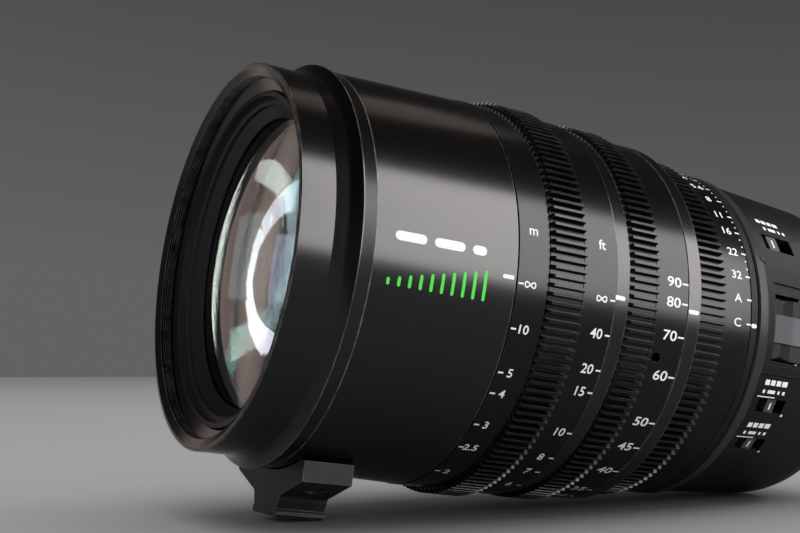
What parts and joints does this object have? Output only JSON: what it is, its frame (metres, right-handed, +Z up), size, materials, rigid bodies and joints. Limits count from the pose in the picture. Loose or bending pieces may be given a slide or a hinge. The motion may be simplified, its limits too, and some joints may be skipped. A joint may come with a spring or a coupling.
{
  "type": "cinema zoom lens",
  "caption": "Cinema zoom lens with geared focus, zoom and iris rings, a wide front, a support foot under the barrel, a zoom rocker and a bayonet mount.",
  "frame": {"origin": "centre of the mount flange's rear face", "axes": "+X along the optical axis, towards the camera body; +Z up; the index marks face -Y"},
  "size_m": [0.227, 0.1248, 0.1353],
  "materials": {
    "barrel": "black anodised, satin, slightly warm",
    "ring": "black anodised, satin, slightly blue",
    "index": "black anodised, satin, warm",
    "inner_black": "matt black anodised",
    "coated_glass": "multi-coated, polished",
    "foot": "dark grey anodised",
    "screw_steel": "burnished",
    "screw_black": "black oxide",
    "tube": "anodised",
    "cam": "machined",
    "blade": "matt black spring steel",
    "rear_body": "fine-textured",
    "rocker": "soft matt",
    "knob": "satin",
    "board": "solder mask",
    "motor": "plated",
    "mount_steel": "fine turned",
    "contact_plastic": "matt",
    "gold": "gold plated"
  },
  "bodies": {
    "housing": {"front_ring": "barrel", "baffle_ring": "inner_black", "front_retainer": "inner_black", "front_cell": "inner_black", "front_element": "coated_glass", "second_element": "coated_glass", "third_element": "coated_glass", "front_barrel": "barrel", "support_foot": "foot", "foot_screws": "screw_black", "main_tube": "tube", "index_ring_front": "index", "index_ring_rear": "index", "iris_housing": "tube", "iris_cover": "tube", "relay_cell": "tube", "relay_front_element": "coated_glass", "relay_rear_element": "coated_glass", "rear_housing": "rear_body", "rocker_bezel": "rear_body", "rocker_pin": "screw_steel", "switch_plate": "board", "circuit_board": "board", "zoom_motor": "motor", "focus_motor": "motor", "rear_cover": "rear_body", "mount_flange": "mount_steel", "mount_screws": "mount_steel", "mount_baffle": "inner_black", "contact_block": "contact_plastic", "contact_pins": "gold"},
    "focus_drive": {"focus_ring": "ring"},
    "focus_group": {"focus_cell": "tube", "focus_element": "coated_glass"},
    "zoom_drive": {"zoom_ring": "ring", "zoom_cam_tube": "cam"},
    "variator": {"variator_cell": "tube", "variator_front_element": "coated_glass", "variator_rear_element": "coated_glass"},
    "compensator": {"compensator_cell": "tube", "compensator_element": "coated_glass"},
    "iris_drive": {"iris_ring": "ring", "iris_drive_ring": "cam"},
    "rocker": {"zoom_rocker": "rocker"},
    "top_slider": {"top_switch": "knob"},
    "zoom_speed_slider": {"zoom_speed_switch": "knob"},
    "focus_speed_slider": {"focus_speed_switch": "knob"},
    "blade_1": {"iris_blade_1": "blade"},
    "blade_2": {"iris_blade_2": "blade"},
    "blade_3": {"iris_blade_3": "blade"},
    "blade_4": {"iris_blade_4": "blade"},
    "blade_5": {"iris_blade_5": "blade"},
    "blade_6": {"iris_blade_6": "blade"},
    "blade_7": {"iris_blade_7": "blade"},
    "blade_8": {"iris_blade_8": "blade"},
    "blade_9": {"iris_blade_9": "blade"}
  },
  "joints": [
    {"name": "focus_turn", "type": "hinge", "parent": "housing", "child": "focus_drive", "pos_m": [-0.14, 0, 0], "axis": [-1, 0, 0], "range_deg": [0, 200]},
    {"name": "focus_slide", "type": "slide", "parent": "housing", "child": "focus_group", "axis": [1, 0, 0], "range_m": [0, 0.0051]},
    {"name": "zoom_turn", "type": "hinge", "parent": "housing", "child": "zoom_drive", "pos_m": [-0.107, 0, 0], "axis": [-1, 0, 0], "range_deg": [-8, 78]},
    {"name": "variator_slide", "type": "slide", "parent": "housing", "child": "variator", "axis": [1, 0, 0], "range_m": [-0.0242, 0.0026]},
    {"name": "compensator_slide", "type": "slide", "parent": "housing", "child": "compensator", "axis": [1, 0, 0], "range_m": [-0.0081, 0.0009]},
    {"name": "iris_turn", "type": "hinge", "parent": "housing", "child": "iris_drive", "pos_m": [-0.077, 0, 0], "axis": [1, 0, 0], "range_deg": [0, 72]},
    {"name": "blade_1_turn", "type": "hinge", "parent": "housing", "child": "blade_1", "pos_m": [-0.08155, 0.034, 0], "axis": [1, 0, 0], "range_deg": [-30.2, 0.1]},
    {"name": "blade_2_turn", "type": "hinge", "parent": "housing", "child": "blade_2", "pos_m": [-0.08115, 0.02605, 0.02185], "axis": [1, 0, 0], "range_deg": [-30.2, 0.1]},
    {"name": "blade_3_turn", "type": "hinge", "parent": "housing", "child": "blade_3", "pos_m": [-0.08075, 0.0059, 0.03348], "axis": [1, 0, 0], "range_deg": [-30.2, 0.1]},
    {"name": "blade_4_turn", "type": "hinge", "parent": "housing", "child": "blade_4", "pos_m": [-0.08035, -0.017, 0.02944], "axis": [1, 0, 0], "range_deg": [-30.2, 0.1]},
    {"name": "blade_5_turn", "type": "hinge", "parent": "housing", "child": "blade_5", "pos_m": [-0.07995, -0.03195, 0.01163], "axis": [1, 0, 0], "range_deg": [-30.2, 0.1]},
    {"name": "blade_6_turn", "type": "hinge", "parent": "housing", "child": "blade_6", "pos_m": [-0.07955, -0.03195, -0.01163], "axis": [1, 0, 0], "range_deg": [-30.2, 0.1]},
    {"name": "blade_7_turn", "type": "hinge", "parent": "housing", "child": "blade_7", "pos_m": [-0.07915, -0.017, -0.02944], "axis": [1, 0, 0], "range_deg": [-30.2, 0.1]},
    {"name": "blade_8_turn", "type": "hinge", "parent": "housing", "child": "blade_8", "pos_m": [-0.07875, 0.0059, -0.03348], "axis": [1, 0, 0], "range_deg": [-30.2, 0.1]},
    {"name": "blade_9_turn", "type": "hinge", "parent": "housing", "child": "blade_9", "pos_m": [-0.07835, 0.02605, -0.02185], "axis": [1, 0, 0], "range_deg": [-30.2, 0.1]},
    {"name": "rocker_tilt", "type": "hinge", "parent": "housing", "child": "rocker", "pos_m": [-0.044, -0.0502, 0.001], "axis": [0, 0, 1], "range_deg": [-8, 8], "stiffness_Nm_per_rad": 0.05},
    {"name": "top_switch_slide", "type": "slide", "parent": "housing", "child": "top_slider", "axis": [1, 0, 0], "range_m": [0, 0.004]},
    {"name": "zoom_speed_slide", "type": "slide", "parent": "housing", "child": "zoom_speed_slider", "axis": [1, 0, 0], "range_m": [-0.002, 0.002]},
    {"name": "focus_speed_slide", "type": "slide", "parent": "housing", "child": "focus_speed_slider", "axis": [1, 0, 0], "range_m": [-0.002, 0.002]}
  ],
  "couplings": [
    {"joint": "focus_slide", "follows": "focus_turn", "m_per_rad": 0.0014324},
    {"joint": "variator_slide", "follows": "zoom_turn", "m_per_rad": -0.017629},
    {"joint": "compensator_slide", "follows": "zoom_turn", "m_per_rad": -0.0058765},
    {"joint": "blade_1_turn", "follows": "iris_turn", "ratio": -0.41667},
    {"joint": "blade_2_turn", "follows": "iris_turn", "ratio": -0.41667},
    {"joint": "blade_3_turn", "follows": "iris_turn", "ratio": -0.41667},
    {"joint": "blade_4_turn", "follows": "iris_turn", "ratio": -0.41667},
    {"joint": "blade_5_turn", "follows": "iris_turn", "ratio": -0.41667},
    {"joint": "blade_6_turn", "follows": "iris_turn", "ratio": -0.41667},
    {"joint": "blade_7_turn", "follows": "iris_turn", "ratio": -0.41667},
    {"joint": "blade_8_turn", "follows": "iris_turn", "ratio": -0.41667},
    {"joint": "blade_9_turn", "follows": "iris_turn", "ratio": -0.41667}
  ]
}
